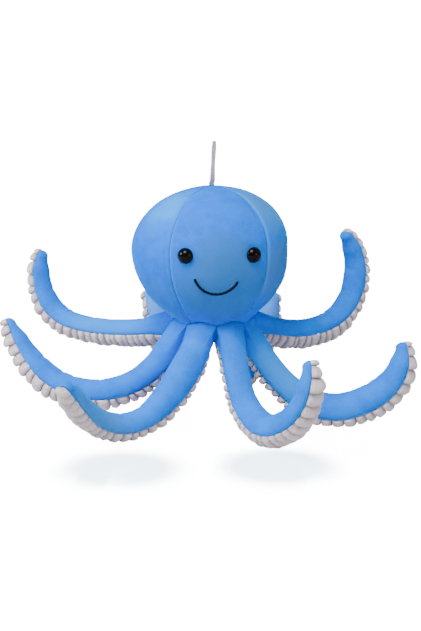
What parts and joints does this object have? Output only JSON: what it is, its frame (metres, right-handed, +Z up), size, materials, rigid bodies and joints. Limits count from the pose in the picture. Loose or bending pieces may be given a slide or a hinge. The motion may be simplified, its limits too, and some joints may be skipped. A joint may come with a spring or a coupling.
{
  "type": "plush octopus",
  "caption": "Stuffed toy octopus with a round head, curled arms ribbed underneath that swing at their roots, and a ribbon loop on its crown.",
  "frame": {"origin": "centre of the bounding box on the floor", "axes": "+Z up, -Y the way the face looks, +X the viewer's right"},
  "size_m": [0.4818, 0.4524, 0.3373],
  "materials": {
    "blue_velour": "matte short-pile velour",
    "fibre_filling": "matte",
    "white_velour": "matte, gathered into ribs",
    "eye_plastic": "gloss",
    "washer_plastic": "matte",
    "mouth_thread": "matte",
    "ribbon": "satin"
  },
  "bodies": {
    "head": {"head_panel_face": "blue_velour", "head_panel_left": "blue_velour", "head_panel_right": "blue_velour", "head_panel_back_left": "blue_velour", "head_panel_back_right": "blue_velour", "head_filling": "fibre_filling", "base_panel": "white_velour", "eye_left": "eye_plastic", "eye_right": "eye_plastic", "eye_washer_left": "washer_plastic", "eye_washer_right": "washer_plastic", "mouth_thread": "mouth_thread", "loop_anchor": "ribbon"},
    "arm_front_left": {"arm_front_left_cover": "blue_velour", "arm_front_left_underside": "white_velour", "arm_front_left_filling": "fibre_filling"},
    "arm_front_right": {"arm_front_right_cover": "blue_velour", "arm_front_right_underside": "white_velour", "arm_front_right_filling": "fibre_filling"},
    "arm_side_left": {"arm_side_left_cover": "blue_velour", "arm_side_left_underside": "white_velour", "arm_side_left_filling": "fibre_filling"},
    "arm_side_right": {"arm_side_right_cover": "blue_velour", "arm_side_right_underside": "white_velour", "arm_side_right_filling": "fibre_filling"},
    "arm_raised_left": {"arm_raised_left_cover": "blue_velour", "arm_raised_left_underside": "white_velour", "arm_raised_left_filling": "fibre_filling"},
    "arm_raised_right": {"arm_raised_right_cover": "blue_velour", "arm_raised_right_underside": "white_velour", "arm_raised_right_filling": "fibre_filling"},
    "arm_back_left": {"arm_back_left_cover": "blue_velour", "arm_back_left_underside": "white_velour", "arm_back_left_filling": "fibre_filling"},
    "arm_back_right": {"arm_back_right_cover": "blue_velour", "arm_back_right_underside": "white_velour", "arm_back_right_filling": "fibre_filling"},
    "hang_loop": {"hang_loop": "ribbon"}
  },
  "joints": [
    {"name": "arm_front_left_root", "type": "hinge", "parent": "head", "child": "arm_front_left", "pos_m": [-0.00204, -0.038, 0.1117], "axis": [-0.9239, 0.3827, 0], "range_deg": [-12, 35], "stiffness_Nm_per_rad": 3},
    {"name": "arm_front_right_root", "type": "hinge", "parent": "head", "child": "arm_front_right", "pos_m": [0.02856, -0.038, 0.1117], "axis": [-0.9239, -0.3827, 0], "range_deg": [-12, 35], "stiffness_Nm_per_rad": 3},
    {"name": "arm_side_left_root", "type": "hinge", "parent": "head", "child": "arm_side_left", "pos_m": [-0.02368, -0.01636, 0.1117], "axis": [-0.3827, 0.9239, 0], "range_deg": [-12, 35], "stiffness_Nm_per_rad": 3},
    {"name": "arm_side_right_root", "type": "hinge", "parent": "head", "child": "arm_side_right", "pos_m": [0.0502, -0.01636, 0.1117], "axis": [-0.3827, -0.9239, 0], "range_deg": [-12, 35], "stiffness_Nm_per_rad": 3},
    {"name": "arm_raised_left_root", "type": "hinge", "parent": "head", "child": "arm_raised_left", "pos_m": [-0.02368, 0.01424, 0.1117], "axis": [0.3827, 0.9239, 0], "range_deg": [-35, 14], "stiffness_Nm_per_rad": 3},
    {"name": "arm_raised_right_root", "type": "hinge", "parent": "head", "child": "arm_raised_right", "pos_m": [0.0502, 0.01424, 0.1117], "axis": [0.3827, -0.9239, 0], "range_deg": [-35, 8], "stiffness_Nm_per_rad": 3},
    {"name": "arm_back_left_root", "type": "hinge", "parent": "head", "child": "arm_back_left", "pos_m": [-0.00204, 0.03588, 0.1117], "axis": [0.9239, 0.3827, 0], "range_deg": [-12, 35], "stiffness_Nm_per_rad": 3},
    {"name": "arm_back_right_root", "type": "hinge", "parent": "head", "child": "arm_back_right", "pos_m": [0.02856, 0.03588, 0.1117], "axis": [0.9239, -0.3827, 0], "range_deg": [-12, 35], "stiffness_Nm_per_rad": 3},
    {"name": "hang_loop_foot", "type": "hinge", "parent": "head", "child": "hang_loop", "pos_m": [0.01326, -0.00106, 0.2863], "axis": [1, 0, 0], "range_deg": [-70, 70], "stiffness_Nm_per_rad": 0.003}
  ]
}
